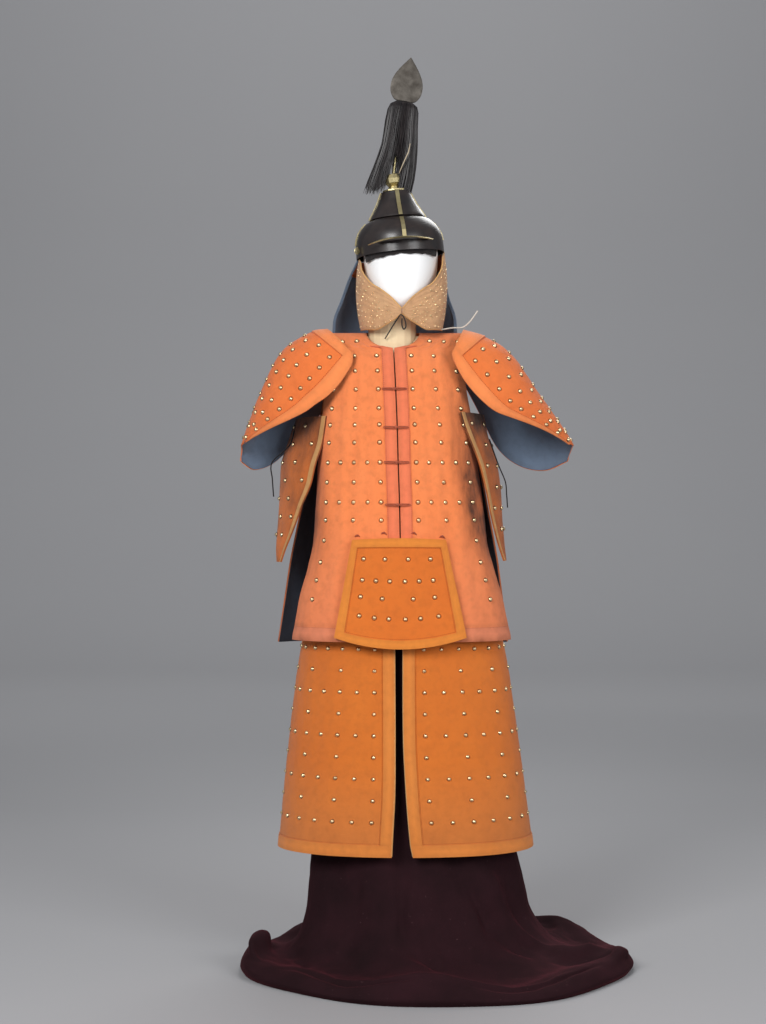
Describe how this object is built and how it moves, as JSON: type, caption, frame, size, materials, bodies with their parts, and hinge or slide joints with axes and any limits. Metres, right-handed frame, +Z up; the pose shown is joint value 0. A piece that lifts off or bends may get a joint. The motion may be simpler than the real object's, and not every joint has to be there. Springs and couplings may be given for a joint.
{
  "type": "banner armour on a dress form stand",
  "caption": "Studded orange banner armour with coat, apron, split skirt, wing-shaped shoulder guards and a plumed helmet, worn by a blank dress form on a draped stand.",
  "frame": {"origin": "centre of the stand's pole on the floor, at the underside of the base disc", "axes": "+Z up; -Y is the armour's front; +X is the viewer's right when the front is seen"},
  "size_m": [0.9144, 0.811, 2.117],
  "materials": {
    "coat": "matt satin weave",
    "placket": "matt satin weave",
    "knot": "matt braid",
    "guard": "matt satin weave",
    "guard_border": "matt satin weave",
    "armpit": "matt satin weave",
    "apron": "matt satin weave",
    "apron_border": "matt satin weave",
    "skirt": "matt satin weave",
    "skirt_border": "matt satin weave",
    "cheek": "matt plain weave",
    "lining": "matt plain weave",
    "piping": "matt braid",
    "cord": "matt braid",
    "lacquer": "gloss lacquer",
    "brass": "satin",
    "steel": "worn",
    "horsehair": "dull hair",
    "form": "matt cover",
    "head": "smooth matt",
    "velvet": "velvet nap",
    "stand": "satin"
  },
  "bodies": {
    "root": {"coat_front_left": "coat", "coat_front_right": "coat", "coat_back": "coat", "placket_left": "placket", "placket_right": "placket", "coat_back_lining": "lining", "waistband": "lining", "neck_guard_lining": "lining", "button_1": "knot", "button_2": "knot", "button_3": "knot", "button_4": "knot", "groin_apron": "apron", "groin_apron_border": "apron_border", "skirt_left": "skirt", "skirt_right": "skirt", "skirt_left_border": "skirt_border", "skirt_right_border": "skirt_border", "shoulder_guard_left": "guard", "shoulder_guard_right": "guard", "neck_guard": "guard", "shoulder_guard_left_border": "guard_border", "shoulder_guard_right_border": "guard_border", "armpit_guard_left": "armpit", "armpit_guard_right": "armpit", "armpit_guard_left_piping": "piping", "armpit_guard_right_piping": "piping", "neck_guard_piping": "piping", "white_tie": "piping", "tie_cord_left": "cord", "tie_cord_right": "cord", "chin_tie": "cord", "helmet_lower": "lacquer", "helmet_upper": "lacquer", "visor": "lacquer", "rib_lower_front": "brass", "rib_lower_right": "brass", "rib_lower_back": "brass", "rib_lower_left": "brass", "rib_upper_front": "brass", "rib_upper_right": "brass", "rib_upper_back": "brass", "rib_upper_left": "brass", "visor_rim": "brass", "knop": "brass", "plume_tube": "brass", "plume": "horsehair", "spearhead": "steel", "cheek_guard_left": "cheek", "cheek_guard_right": "cheek", "form_torso": "form", "form_neck": "form", "form_head": "head", "stand_base": "stand", "stand_pole": "stand", "velvet_cover": "velvet"}
  },
  "joints": []
}
